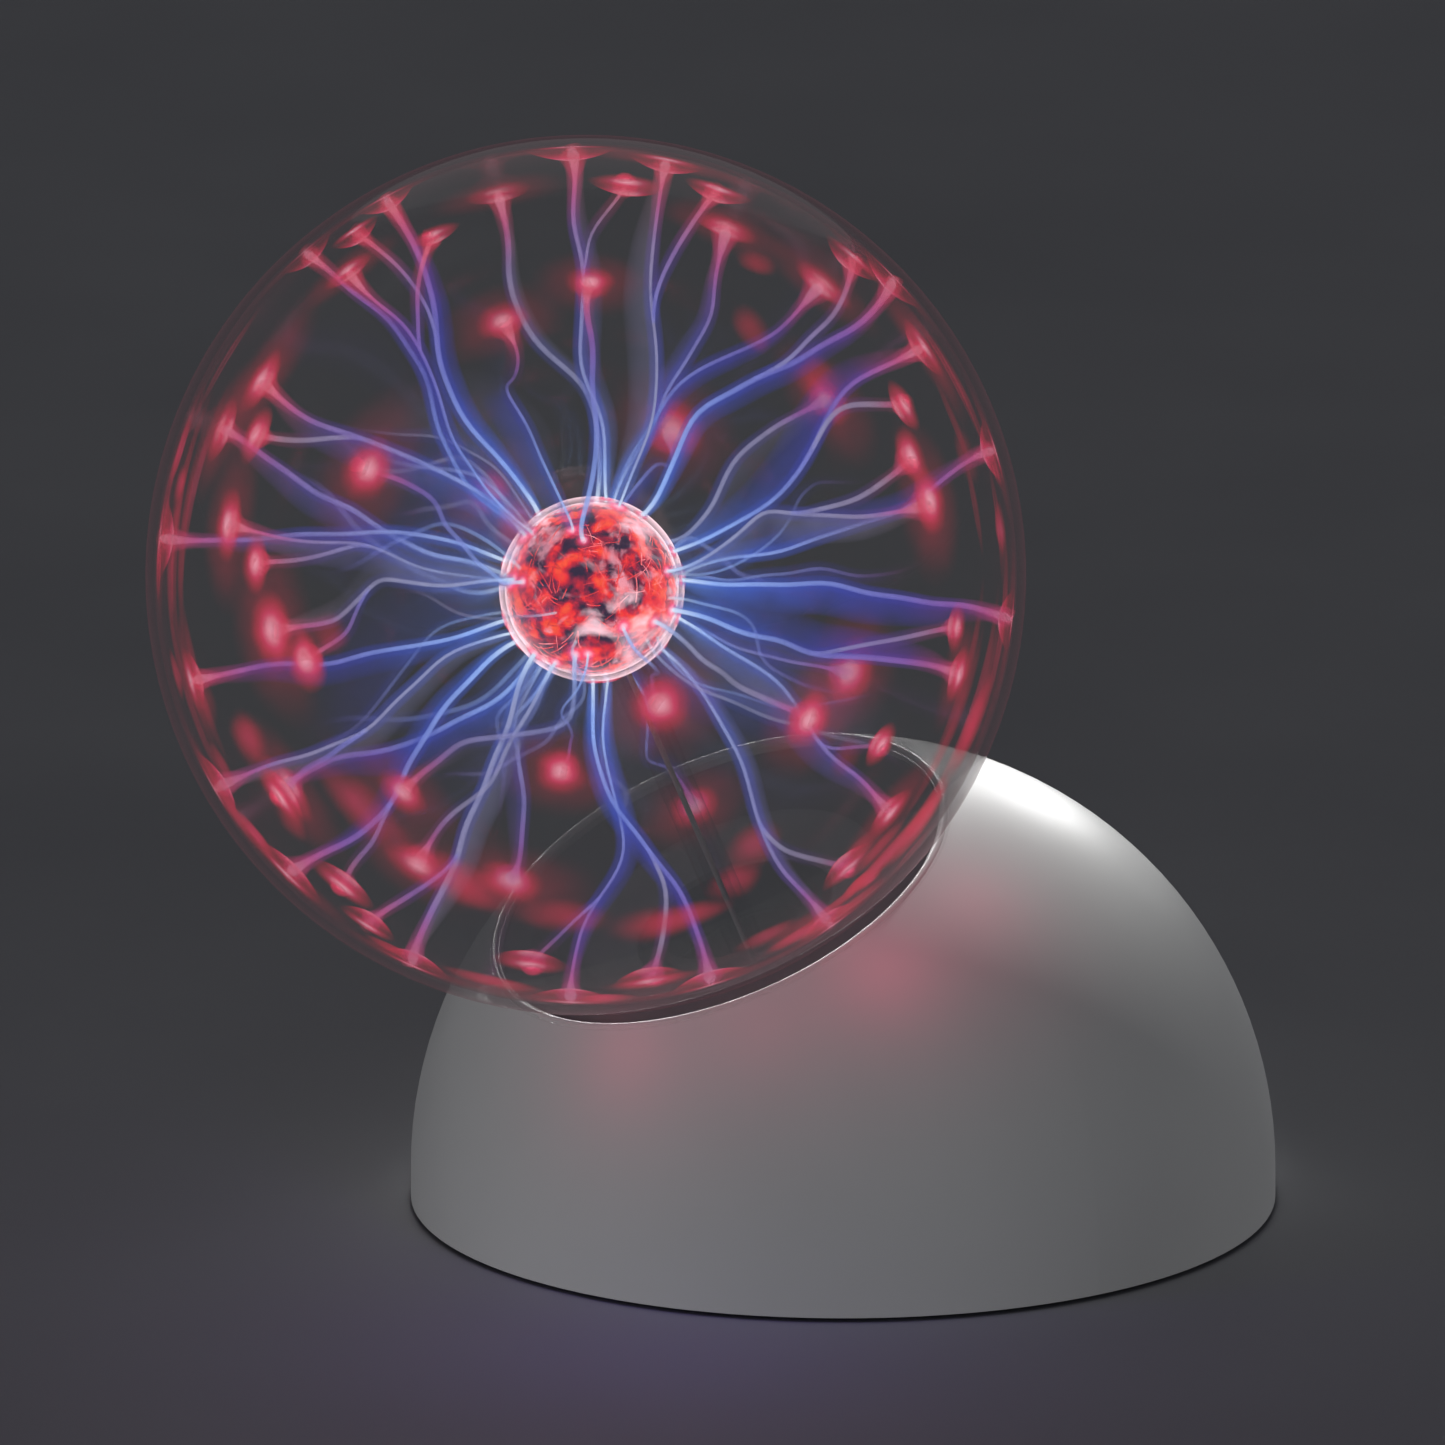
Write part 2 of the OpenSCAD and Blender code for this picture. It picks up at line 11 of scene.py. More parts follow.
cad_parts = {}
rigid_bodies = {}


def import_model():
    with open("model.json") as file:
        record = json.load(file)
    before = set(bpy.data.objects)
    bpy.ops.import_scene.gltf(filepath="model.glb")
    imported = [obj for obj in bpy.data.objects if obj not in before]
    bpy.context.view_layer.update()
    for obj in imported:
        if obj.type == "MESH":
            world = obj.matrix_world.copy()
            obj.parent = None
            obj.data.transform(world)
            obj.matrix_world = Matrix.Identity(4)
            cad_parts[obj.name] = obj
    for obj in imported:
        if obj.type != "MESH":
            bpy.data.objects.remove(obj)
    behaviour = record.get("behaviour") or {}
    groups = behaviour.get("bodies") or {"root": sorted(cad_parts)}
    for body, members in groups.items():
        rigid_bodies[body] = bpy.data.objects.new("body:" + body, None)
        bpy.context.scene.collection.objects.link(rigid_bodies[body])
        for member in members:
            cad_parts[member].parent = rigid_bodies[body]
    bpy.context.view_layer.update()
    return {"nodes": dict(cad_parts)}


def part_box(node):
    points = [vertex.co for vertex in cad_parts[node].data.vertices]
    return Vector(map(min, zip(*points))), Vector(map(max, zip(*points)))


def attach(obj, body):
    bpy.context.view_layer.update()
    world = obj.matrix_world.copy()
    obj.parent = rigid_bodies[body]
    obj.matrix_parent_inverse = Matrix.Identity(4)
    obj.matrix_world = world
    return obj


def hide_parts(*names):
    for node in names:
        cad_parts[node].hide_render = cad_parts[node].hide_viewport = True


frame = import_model()
nodes = frame["nodes"]

MM = 0.001
UP = Vector((0, 0, 1))

# ---------------------------------------------------------------- places taken from the frame

glass_low, glass_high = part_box("globe_glass")
bulb_low, bulb_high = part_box("electrode_bulb")
base_low, base_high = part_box("dome_shell")
BASE_R = (base_high.x - base_low.x) / 2
GLOBE_R = (glass_high.x - glass_low.x) / 2
GLOBE = Vector((0, glass_low.y + GLOBE_R, glass_high.z - GLOBE_R))
BULB_R = (bulb_high.x - bulb_low.x) / 2
BULB = Vector((0, (bulb_low.y + bulb_high.y) / 2, (bulb_low.z + bulb_high.z) / 2))
AXIS = (GLOBE - BULB).normalized()
# The centre of the dome is level with the top of its straight skirt
SKIRT_HEIGHT = 6 * MM
DOME = Vector((0, 0, SKIRT_HEIGHT))
BULB_WALL = 1.0 * MM
GLASS_WALL = 1.6 * MM
CAVITY_R = GLOBE_R - GLASS_WALL
# How far along the axis the opening's lip is, from the dome's centre and from the origin
LIP_REACH = 61.9 * MM
LIP_HEIGHT = LIP_REACH + DOME.dot(AXIS)

# The share of light that passes one face of the globe's slightly veiled glass, and how much
# brighter the things inside it glow to make up for the two faces in front of them
VEIL = 0.63
LIFT = 1 / VEIL ** 2

# The direction that the ball is mostly seen from, the two across it, and level away from the eye
VIEW_AZIMUTH = math.radians(54)
VIEW_ELEVATION = math.radians(16.16)
SIDE = Vector((math.cos(VIEW_AZIMUTH), math.sin(VIEW_AZIMUTH), 0))
TOWARDS = Vector((
    math.cos(VIEW_ELEVATION) * math.sin(VIEW_AZIMUTH),
    -math.cos(VIEW_ELEVATION) * math.cos(VIEW_AZIMUTH),
    math.sin(VIEW_ELEVATION),
))
ABOVE = TOWARDS.cross(SIDE)
AWAY = Vector((-TOWARDS.x, -TOWARDS.y, 0)).normalized()


# ---------------------------------------------------------------- materials

class Shader:
    """A new material and short ways to add nodes to it."""

    def __init__(self, name):
        self.material = bpy.data.materials.new(name)
        self.material.use_nodes = True
        self.tree = self.material.node_tree
        self.tree.nodes.clear()
        self.out = self.tree.nodes.new("ShaderNodeOutputMaterial")

    def add(self, kind, inputs=None, **settings):
        node = self.tree.nodes.new("ShaderNode" + kind)
        for key, value in settings.items():
            setattr(node, key, value)
        for key, value in (inputs or {}).items():
            if isinstance(value, bpy.types.NodeSocket):
                self.tree.links.new(value, node.inputs[key])
            else:
                node.inputs[key].default_value = value
        return node

    def place(self):
        return self.add("TexCoord").outputs["Object"]

    def facing(self):
        """How much a surface turns away: 0 head on and 1 at a grazing angle."""
        return self.add("LayerWeight", {"Blend": 0.5}).outputs["Facing"]

    def attribute(self, name):
        return self.add("Attribute", attribute_name=name).outputs["Fac"]

    def noise(self, scale, detail=3.0, roughness=0.55, where=None, distortion=0.0):
        inputs = {"Vector": where or self.place(), "Scale": scale, "Detail": detail,
                  "Roughness": roughness, "Distortion": distortion}
        return self.add("TexNoise", inputs).outputs["Fac"]

    def ramp(self, fac, stops):
        node = self.add("ValToRGB", {"Fac": fac})
        points = node.color_ramp.elements
        while len(points) < len(stops):
            points.new(0.5)
        for point, (at, colour) in zip(points, stops):
            point.position = at
            point.color = (*colour, 1)
        return node.outputs["Color"]

    def blend(self, fac, first, second):
        """A colour that goes from first, a colour or a socket, to second, a colour."""
        first = first if isinstance(first, bpy.types.NodeSocket) else (*first, 1)
        return self.add("Mix", {0: fac, 6: first, 7: (*second, 1)}, data_type="RGBA").outputs[2]

    def spread(self, fac, low, high, at=(0.3, 0.7)):
        """A number from low to high as fac goes over at."""
        inputs = {"Value": fac, "From Min": at[0], "From Max": at[1], "To Min": low, "To Max": high}
        return self.add("MapRange", inputs).outputs["Result"]

    def maths(self, operation, a, b=0.0, clamp=False):
        return self.add("Math", {0: a, 1: b}, operation=operation, use_clamp=clamp).outputs[0]

    def measure(self, operation, vector):
        """The distance to a point, or the height along a direction, of each place."""
        inputs = {0: self.place(), 1: tuple(vector)}
        return self.add("VectorMath", inputs, operation=operation).outputs["Value"]

    def bump(self, height, strength, depth):
        inputs = {"Height": height, "Strength": strength, "Distance": depth}
        return self.add("Bump", inputs).outputs["Normal"]

    def clear(self, tint=(1, 1, 1)):
        return self.add("BsdfTransparent", {"Color": (*tint, 1)}).outputs[0]

    def light(self, colour, strength=1.0):
        return self.add("Emission", {"Color": colour, "Strength": strength}).outputs[0]

    def over(self, share, below, above):
        """One shader over another, by its share."""
        return self.add("MixShader", {0: share, 1: below, 2: above}).outputs[0]

    def principled(self, **inputs):
        return self.add("BsdfPrincipled", {k.replace("_", " "): v for k, v in inputs.items()}).outputs[0]

    def done(self, surface):
        self.tree.links.new(surface, self.out.inputs["Surface"])
        return self.material


def tones(colour, change):
    """Two stops a little darker and a little lighter than a colour."""
    darker = tuple(c * (1 - change) for c in colour)
    lighter = tuple(min(1, c * (1 + change)) for c in colour)
    return [(0.3, darker), (0.7, lighter)]


def moulded(name, colour, rough, grain=1500, bump=0.12, change=0.06, coat=0.0):
    """Moulded plastic or rubber: slight mottling, fine grain and uneven gloss."""
    s = Shader(name)
    cloud = s.noise(28, 4)
    fine = s.noise(grain, 2)
    base = s.ramp(cloud, tones(colour, change))
    smudge = s.spread(s.noise(60, 5, distortion=0.6), rough - 0.05, rough + 0.07)
    return s.done(s.principled(Base_Color=base, Roughness=smudge, Coat_Weight=coat, Coat_Roughness=0.2,
                               Normal=s.bump(fine, bump, 0.05 * MM)))


def metal(name, colour, rough, along=(1, 1, 1)):
    """Plated or machined metal with fine brushing along one direction and darker spots."""
    s = Shader(name)
    stretch = s.add("Mapping", {"Vector": s.place(), "Scale": along}).outputs["Vector"]
    brushed = s.noise(900, 3, where=stretch)
    tarnish = s.noise(240, 4)
    base = s.ramp(tarnish, tones(colour, 0.12))
    uneven = s.spread(brushed, rough - 0.08, rough + 0.12)
    return s.done(s.principled(Base_Color=base, Metallic=1.0, Roughness=uneven,
                               Normal=s.bump(brushed, 0.25, 0.03 * MM)))


# The scale at which a wave texture's bands come about once a metre
WAVE_SCALE = 1 / 3.2


def wound(name, colour, pitch, metallic):
    """A coil of lacquered wire wound round an upright former."""
    s = Shader(name)
    turns = s.add("TexWave", {"Vector": s.place(), "Scale": WAVE_SCALE / pitch, "Distortion": 0.4},
                  bands_direction="Z").outputs["Fac"]
    # The grooves between the turns are darker: painted shade where the bump sinks
    base = s.ramp(turns, [(0.1, tuple(c * 0.35 for c in colour)), (0.6, colour)])
    return s.done(s.principled(Base_Color=base, Metallic=metallic, Roughness=0.32,
                               Normal=s.bump(turns, 0.6, 0.15 * MM)))


def laminate():
    """A green circuit board with copper tracks under its solder mask."""
    s = Shader("board_laminate_look")
    cells = s.add("TexVoronoi", {"Vector": s.place(), "Scale": 230, "Randomness": 0.55},
                  feature="DISTANCE_TO_EDGE", distance="MANHATTAN").outputs["Distance"]
    track = s.maths("LESS_THAN", cells, 0.06)
    base = s.ramp(track, [(0.0, (0.012, 0.12, 0.045)), (1.0, (0.035, 0.24, 0.09))])
    return s.done(s.principled(Base_Color=base, Roughness=s.spread(s.noise(300), 0.28, 0.42),
                               Normal=s.bump(track, 0.3, 0.04 * MM)))


def sheen_share(s, least, most):
    """How much a glass surface mirrors, from head on to a grazing angle, the same from either side."""
    return s.spread(s.maths("POWER", s.facing(), 5.0), least, most, at=(0.0, 1.0))


GLASS_ROUGHNESS = 0.02


def glass(name, tint, least=0.04, gloss=1.0, smear=0.0, most=0.65, haze=None, edge=None):
    """Thin glass: what is behind it shows, tinted, under a mirror sheen that grows at the edge.
    haze is a faint even glow painted on the glass, and edge is the pink glow painted round its edge,
    which the haze turns into at a grazing angle."""
    s = Shader(name)
    through = s.clear(tint)
    # Painted light: the glass glows faintly all over, and pinker where it is seen at a grazing angle
    if haze:
        glow = s.blend(s.maths("POWER", s.facing(), 8.0), haze, edge)
        through = s.add("AddShader", {0: through, 1: s.light(glow)}).outputs[0]
    uneven = s.spread(s.noise(35, 5), GLASS_ROUGHNESS, GLASS_ROUGHNESS + smear)
    shine = s.add("BsdfGlossy", {"Color": (gloss, gloss, gloss, 1), "Roughness": uneven}).outputs[0]
    return s.done(s.over(sheen_share(s, least, most), through, shine))


def plasma(name, strength, softness, stops, grey):
    """Glowing gas. Its colour runs through stops from the electrode to the glass, and the mesh's
    own glow and pale values thin it out and turn it towards grey."""
    s = Shader(name)
    reach = s.spread(s.measure("DISTANCE", BULB), 0.0, 1.0, at=(BULB_R, CAVITY_R))
    tinted = s.blend(s.attribute("pale"), s.ramp(reach, stops), grey)
    flicker = s.spread(s.noise(260, 2), 0.7, 1.0)
    body = s.maths("POWER", s.maths("SUBTRACT", 1.0, s.facing(), clamp=True), softness)
    share = s.maths("MULTIPLY", s.maths("MULTIPLY", body, s.attribute("glow")), flicker, clamp=True)
    return s.done(s.over(share, s.clear(), s.light(tinted, strength * LIFT)))


def flare_light(name, strength):
    """Pink glow where a filament spreads on the glass, paler in its middle."""
    s = Shader(name)
    pink = [(0.0, (0.55, 0.02, 0.05)), (0.4, (0.66, 0.04, 0.12)), (1.0, (0.80, 0.36, 0.44))]
    colour = s.ramp(s.attribute("pale"), pink)
    flicker = s.spread(s.noise(190, 3), 0.6, 1.0)
    share = s.maths("MULTIPLY", s.attribute("glow"), flicker, clamp=True)
    return s.done(s.over(share, s.clear(), s.light(colour, strength * LIFT)))


def hot_wool():
    """Glowing steel wool: orange-red, with dark patches and paler drifts."""
    s = Shader("hot_wool_look")
    patches = s.noise(270, 4, 0.48, distortion=0.25)
    colour = s.ramp(patches, [(0.39, (0.010, 0.001, 0.030)), (0.46, (0.22, 0.003, 0.040)),
                              (0.52, (0.52, 0.006, 0.030)), (0.57, (0.90, 0.016, 0.024)),
                              (0.66, (1.0, 0.08, 0.03))])
    drift = s.spread(s.noise(150, 4, distortion=0.6), 0.0, 0.8, at=(0.58, 0.70))
    lit = s.blend(drift, colour, (0.95, 0.40, 0.50))
    return s.done(s.principled(Base_Color=(0.03, 0.01, 0.01, 1), Roughness=0.6, Emission_Color=lit,
                               Emission_Strength=LIFT, Normal=s.bump(s.noise(900, 3), 0.6, 0.3 * MM)))


def hot_fibre():
    """Single glowing fibres, redder in some places and nearly white in others."""
    s = Shader("hot_fibre_look")
    colour = s.ramp(s.noise(260, 3), [(0.35, (0.25, 0.003, 0.02)), (0.5, (0.85, 0.03, 0.03)),
                                      (0.7, (1.0, 0.36, 0.40))])
    return s.done(s.principled(Base_Color=(0.2, 0.05, 0.04, 1), Metallic=0.6, Roughness=0.4,
                               Emission_Color=colour, Emission_Strength=1.1 * LIFT))


def bulb_coat():
    """The electrode's glass: nearly clear in front and glowing white-pink round its edge."""
    s = Shader("bulb_coat_look")
    uneven = s.spread(s.noise(75, 3), 0.55, 1.1, at=(0.4, 0.6))
    rim = s.maths("MULTIPLY", s.maths("POWER", s.facing(), 4.5), uneven)
    wisps = s.spread(s.noise(110, 4, distortion=1.0), 0.0, 0.8, at=(0.57, 0.72))
    share = s.maths("ADD", rim, s.maths("MULTIPLY", wisps, 0.45), clamp=True)
    shine = s.add("BsdfGlossy", {"Roughness": 0.05}).outputs[0]
    body = s.over(share, s.clear(), s.light((1.0, 0.68, 0.76, 1), 1.7 * LIFT))
    return s.done(s.over(sheen_share(s, 0.03, 0.2), body, shine))


def shell_plastic():
    """White satin plastic with a fine moulded grain, polished along the lip of the opening."""
    s = Shader("shell_plastic_look")
    cloud = s.noise(14, 4)
    base = s.ramp(cloud, [(0.3, (0.74, 0.74, 0.735)), (0.7, (0.79, 0.79, 0.785))])
    grain = s.noise(2200, 2)
    rough = s.spread(s.noise(45, 5, distortion=0.4), 0.36, 0.46)
    lip = s.spread(s.measure("DOT_PRODUCT", AXIS), 0.0, 0.9, at=(LIP_HEIGHT - 0.5 * MM, LIP_HEIGHT))
    polished = s.add("Mix", {0: lip, 2: rough, 3: 0.16}, data_type="FLOAT").outputs[0]
    return s.done(s.principled(Base_Color=base, Roughness=polished, Specular_IOR_Level=0.5,
                               Normal=s.bump(grain, 0.06, 0.04 * MM)))


steel_look = metal("steel_look", (0.62, 0.62, 0.64), 0.3)
rubber_look = moulded("rubber_look", (0.022, 0.022, 0.024), 0.72, grain=900, bump=0.3)
nylon_look = moulded("nylon_look", (0.72, 0.70, 0.62), 0.45)
epoxy_look = moulded("epoxy_look", (0.02, 0.02, 0.022), 0.42, grain=2600)
looks = {
    "dome_shell": shell_plastic(),
    "base_plate": moulded("base_plate_look", (0.035, 0.035, 0.038), 0.5),
    "foot_ring": rubber_look,
    "base_screws": steel_look,
    # The globe's glass has a faint even glow and a pink edge glow painted on it
    "globe_glass": glass("globe_glass_look", (VEIL, VEIL, VEIL), least=0.03, smear=0.05, most=0.4,
                         haze=(0.0157, 0.0161, 0.0175), edge=(0.055, 0.019, 0.025)),
    "glass_stem": glass("stem_glass_look", (0.93, 0.94, 0.95), gloss=0.5),
    "electrode_bulb": bulb_coat(),
    "electrode_lead": moulded("lead_look", (0.60, 0.60, 0.58), 0.4),
    "globe_gasket": moulded("gasket_look", (0.20, 0.20, 0.20), 0.6, grain=900, bump=0.3),
    "globe_collar": moulded("collar_look", (0.45, 0.45, 0.46), 0.45),
    "collar_screws": steel_look,
    "neck_bushing": rubber_look,
    "neck_cap": nylon_look,
    "high_voltage_lead": moulded("red_silicone_look", (0.42, 0.03, 0.02), 0.4),
    "driver_board": laminate(),
    "board_screws": steel_look,
    "flyback_core": moulded("ferrite_look", (0.045, 0.045, 0.05), 0.55, grain=700, bump=0.4, change=0.3),
    "high_voltage_coil": wound("potted_coil_look", (0.05, 0.05, 0.055), 1.2 * MM, 0.0),
    "primary_coil": wound("copper_coil_look", (0.70, 0.30, 0.12), 0.5 * MM, 1.0),
    "power_transistor": epoxy_look,
    "heatsink": metal("aluminium_look", (0.70, 0.71, 0.73), 0.35, along=(1, 1, 0.05)),
    "transistor_screw": steel_look,
    "filter_capacitors": moulded("capacitor_sleeve_look", (0.02, 0.035, 0.16), 0.3, coat=0.3),
    "film_capacitor": moulded("film_capacitor_look", (0.34, 0.04, 0.03), 0.3, coat=0.4),
    "resistors": moulded("resistor_look", (0.55, 0.42, 0.27), 0.4),
    "oscillator_chip": epoxy_look,
    "wire_headers": nylon_look,
    "microphone": metal("capsule_look", (0.60, 0.61, 0.62), 0.28),
    "switch_body": metal("switch_can_look", (0.58, 0.58, 0.56), 0.34),
    "switch_slider": moulded("slider_look", (0.025, 0.025, 0.027), 0.38),
    "switch_screws": steel_look,
    "power_socket": moulded("socket_look", (0.02, 0.02, 0.021), 0.35),
    "socket_pin": metal("pin_look", (0.72, 0.70, 0.66), 0.22),
    "socket_nut": steel_look,
    "supply_wires": moulded("supply_wire_look", (0.30, 0.02, 0.02), 0.42),
    "switch_wires": moulded("switch_wire_look", (0.32, 0.28, 0.05), 0.42),
    "microphone_wires": moulded("microphone_wire_look", (0.05, 0.22, 0.06), 0.42),
}
for name, look in looks.items():
    for place in nodes[name].material_slots:
        place.material = look
# The globe and the bulb cast no shadow, and the bulb's glow lights nothing round it
nodes["globe_glass"].visible_shadow = False
nodes["electrode_bulb"].visible_diffuse = nodes["electrode_bulb"].visible_shadow = False


# ---------------------------------------------------------------- mesh making

class Piece:
    """A mesh under construction, with a glow and a pale value at each vertex."""

    def __init__(self, name):
        self.name = name
        self.verts, self.faces, self.glow, self.pale = [], [], [], []

    def point(self, at, glow, pale):
        self.verts.append(at)
        self.glow.append(glow)
        self.pale.append(pale)
        return len(self.verts) - 1

    def tube(self, path, ring, sides, flat=None):
        """Sweeps a closed tube along a path. ring(t, a) gives the offset across and over at angle
        a, the glow and the pale value. flat is roughly the direction that across starts in."""
        last = len(path) - 1
        heading = [(path[min(i + 1, last)] - path[max(i - 1, 0)]).normalized() for i in range(last + 1)]
        side = flat or heading[0].orthogonal()
        rows = []
        for i, at in enumerate(path):
            side = (side - heading[i] * side.dot(heading[i])).normalized()
            up = heading[i].cross(side)
            row = []
            for k in range(sides):
                across, over, glow, pale = ring(i / last, math.tau * k / sides)
                row.append(self.point(at + side * across + up * over, glow, pale))
            rows.append(row)
        for low, high in zip(rows, rows[1:]):
            for k in range(sides):
                n = (k + 1) % sides
                self.faces.append((low[k], low[n], high[n], high[k]))
        self.faces.append(tuple(reversed(rows[0])))
        self.faces.append(tuple(rows[-1]))

    def build(self, look):
        """Makes the mesh a piece on the base. Its glow lights nothing and it casts no shadow."""
        mesh = bpy.data.meshes.new(self.name)
        mesh.from_pydata([tuple(v) for v in self.verts], [], self.faces)
        for key, values in (("glow", self.glow), ("pale", self.pale)):
            mesh.attributes.new(key, "FLOAT", "POINT").data.foreach_set("value", values)
        mesh.shade_smooth()
        mesh.materials.append(look)
        made = bpy.data.objects.new(self.name, mesh)
        bpy.context.scene.collection.objects.link(made)
        made.visible_diffuse = made.visible_shadow = False
        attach(made, "base")


def smoothstep(t):
    """Goes smoothly from 0 to 1 as t does, and stays there."""
    t = min(1.0, max(0.0, t))
    return t * t * (3 - 2 * t)


# ---------------------------------------------------------------- flares

# The flares lie on a sphere just inside the glass
FLARE_R = CAVITY_R - 0.3 * MM
FLARE_DEPTH = 0.6 * MM


def draw_flare(piece, at, size, along, long, bright, pale=1.0, middle=GLOBE, radius=FLARE_R,
               deep=FLARE_DEPTH):
    """A thin lens of glow that lies on a sphere, by default against the inside of the glass, and
    is drawn out by long in the direction along. Its flat side is on the sphere, and it is deep
    thick towards the sphere's middle, or away from it if deep is negative."""
    out = (at - middle).normalized()
    u = (along - out * along.dot(out)).normalized()
    v = out.cross(u)
    rings, sides = 7, 20
    turns = [math.tau * k / sides for k in range(sides)]
    # The outline is a little ragged, and differs from place to place
    seed = Vector((0, 0, at.x * 900 + at.z * 500))
    wander = [noise.noise(seed + Vector((math.cos(a), math.sin(a), 0))) for a in turns]
    reach = [size * (1 + 0.16 * change) for change in wander]

    def lay(x, y, inset):
        return middle + (out + (u * x + v * y) / radius).normalized() * (radius - inset)

    def row(far, depth):
        """The points round the lens at a share of its reach, on the face with its middle at depth."""
        rise = 1 - far * far
        points = []
        for a, r in zip(turns, reach):
            spot = lay(long * r * far * math.cos(a), r * far * math.sin(a), depth * rise)
            points.append(piece.point(spot, bright * rise ** 1.8, pale * (1 - smoothstep(far / 0.75))))
        return points

    rim = row(1, 0)
    for depth, outwards in ((0, deep > 0), (deep, deep < 0)):
        hub = piece.point(lay(0, 0, depth), bright, pale)
        rows = [row(j / rings, depth) for j in range(1, rings)] + [rim]
        for k in range(sides):
            n = (k + 1) % sides
            faces = [(hub, rows[0][k], rows[0][n])]
            faces += [(low[k], high[k], high[n], low[n]) for low, high in zip(rows, rows[1:])]
            piece.faces += faces if outwards else [face[::-1] for face in faces]


def on_glass(angle, share, behind):
    """A place on the glass: its angle round the front view in degrees, how far out it is there as
    a share of the radius, and whether it is on the far side."""
    a = math.radians(angle)
    depth = math.sqrt(1 - share * share) * (-1 if behind else 1)
    return GLOBE + ((SIDE * math.cos(a) + ABOVE * math.sin(a)) * share + TOWARDS * depth) * FLARE_R


def round_view(spot):
    """The direction along the globe's edge, as seen from the front, at a place on the glass."""
    return TOWARDS.cross(spot - GLOBE).normalized()


# ---------------------------------------------------------------- filaments

# Everything random is drawn from this in a fixed order
rng = random.Random(20)
channel = Piece("filament_channels")
haze = Piece("filament_glow")
flares = Piece("glass_flares")
roots = Piece("filament_roots")
STEPS = 34
ENDING_POINTS = 15

# The main filaments: where each meets the glass, as its angle round the front view, its share of
# the radius, and whether it is behind. Then how broad its veil is, in VEIL_UNITs to each side of
# the veil's middle, its brightness, and the angle of its fork, if it has one
VEIL_UNIT = 1.25 * MM
MAIN = [
    (92, 0.998, False, 1.6, 1.0, 84), (79, 0.985, False, 2.2, 1.0, 71),
    (68, 0.88, True, 1.4, 0.8, None), (89, 0.68, False, 0, 0.8, None),
    (103, 0.92, True, 1.2, 0.6, None), (118, 0.997, False, 1.3, 1.0, 124),
    (128, 0.90, False, 1.4, 0.9, 114), (131, 0.999, False, 0, 0.7, None),
    (108, 0.62, False, 2.0, 0.7, None), (149, 0.88, False, 2.4, 1.0, 157),
    (158, 0.92, True, 2.2, 0.8, None), (154, 0.56, False, 0, 0.7, None),
    (175, 0.997, True, 1.4, 0.8, None), (172, 0.84, False, 2.2, 1.0, 178),
    (190, 0.74, False, 2.6, 1.0, 197), (195, 0.95, False, 1.8, 0.9, None),
    (210, 0.998, False, 1.6, 1.0, 216), (215, 0.86, True, 2.0, 0.8, None),
    (225, 0.985, False, 1.4, 0.9, 232), (230, 0.66, False, 1.6, 0.7, None),
    (246, 0.995, False, 2.0, 1.0, 238), (240, 0.78, False, 0, 0.7, None),
    (256, 0.74, True, 1.6, 0.7, None), (268, 0.995, False, 1.2, 0.9, 262),
    (263, 0.46, False, 0, 0.8, None), (287, 0.998, False, 1.2, 1.0, 279),
    (295, 0.60, True, 1.4, 0.7, None), (305, 0.998, False, 1.2, 0.9, 312),
    (322, 0.90, False, 2.0, 1.0, 330), (327, 0.62, False, 1.8, 0.9, None),
    (340, 0.66, True, 2.0, 0.8, None), (345, 0.90, False, 2.4, 0.9, 352),
    (354, 0.998, False, 2.4, 1.0, None), (12, 0.82, False, 2.2, 1.0, 20),
    (17, 0.997, False, 1.6, 0.9, None), (36, 0.70, True, 2.6, 0.8, None),
    (34, 0.95, False, 2.6, 1.0, 28), (44, 0.998, False, 1.4, 0.9, 50),
    (51, 0.88, True, 1.2, 0.7, None), (60, 0.40, True, 1.6, 0.6, None),
    (300, 0.35, False, 0, 0.9, None), (140, 0.30, True, 1.4, 0.6, None),
]

# The glow's colours, by how far from the electrode to the glass
CHANNEL_STOPS = [
    (0.0, (0.75, 0.88, 1.0)), (0.10, (0.34, 0.52, 1.0)), (0.40, (0.22, 0.29, 0.70)),
    (0.65, (0.20, 0.17, 0.55)), (0.80, (0.28, 0.11, 0.42)), (0.92, (0.52, 0.10, 0.26)),
    (1.0, (0.76, 0.17, 0.25)),
]
HAZE_STOPS = [
    (0.0, (0.11, 0.24, 0.76)), (0.15, (0.045, 0.12, 0.60)), (0.45, (0.035, 0.055, 0.42)),
    (0.65, (0.04, 0.035, 0.34)), (0.80, (0.11, 0.03, 0.27)), (0.92, (0.40, 0.035, 0.15)),
    (1.0, (0.62, 0.03, 0.08)),
]
CHANNEL_GREY = (0.34, 0.32, 0.40)
HAZE_GREY = (0.17, 0.16, 0.18)


def filament_path(end, sway):
    """Points from the electrode's surface to a place on the glass, bowed and slightly kinked.
    sway is the range of how far it bows, in mm."""
    goal = end - BULB
    arrive = goal.normalized()
    leave = (arrive + Vector([rng.uniform(-0.3, 0.3) for _ in range(3)])).normalized()
    sway = rng.uniform(*sway) * MM
    across = arrive.orthogonal().normalized()
    over = arrive.cross(across)
    waves = [(rng.uniform(0.4, 0.9), rng.uniform(0, math.tau), 1.0),
             (rng.uniform(1.4, 2.3), rng.uniform(0, math.tau), 0.26),
             (rng.uniform(3.5, 5), rng.uniform(0, math.tau), 0.05)]
    start = BULB_R - 0.4 * MM
    path = []
    for i in range(STEPS):
        t = i / (STEPS - 1)
        heading = leave.slerp(arrive, smoothstep(t * 1.25))
        spot = BULB + heading * (start + (goal.length - start) * t)
        amount = sway * math.sin(math.pi * t) ** 0.8
        for pace, phase, size in waves:
            spot += amount * size * (math.sin(math.tau * pace * t + phase) * across
                                     + math.cos(math.tau * pace * t + phase * 1.7) * over)
        path.append(spot)
    return path


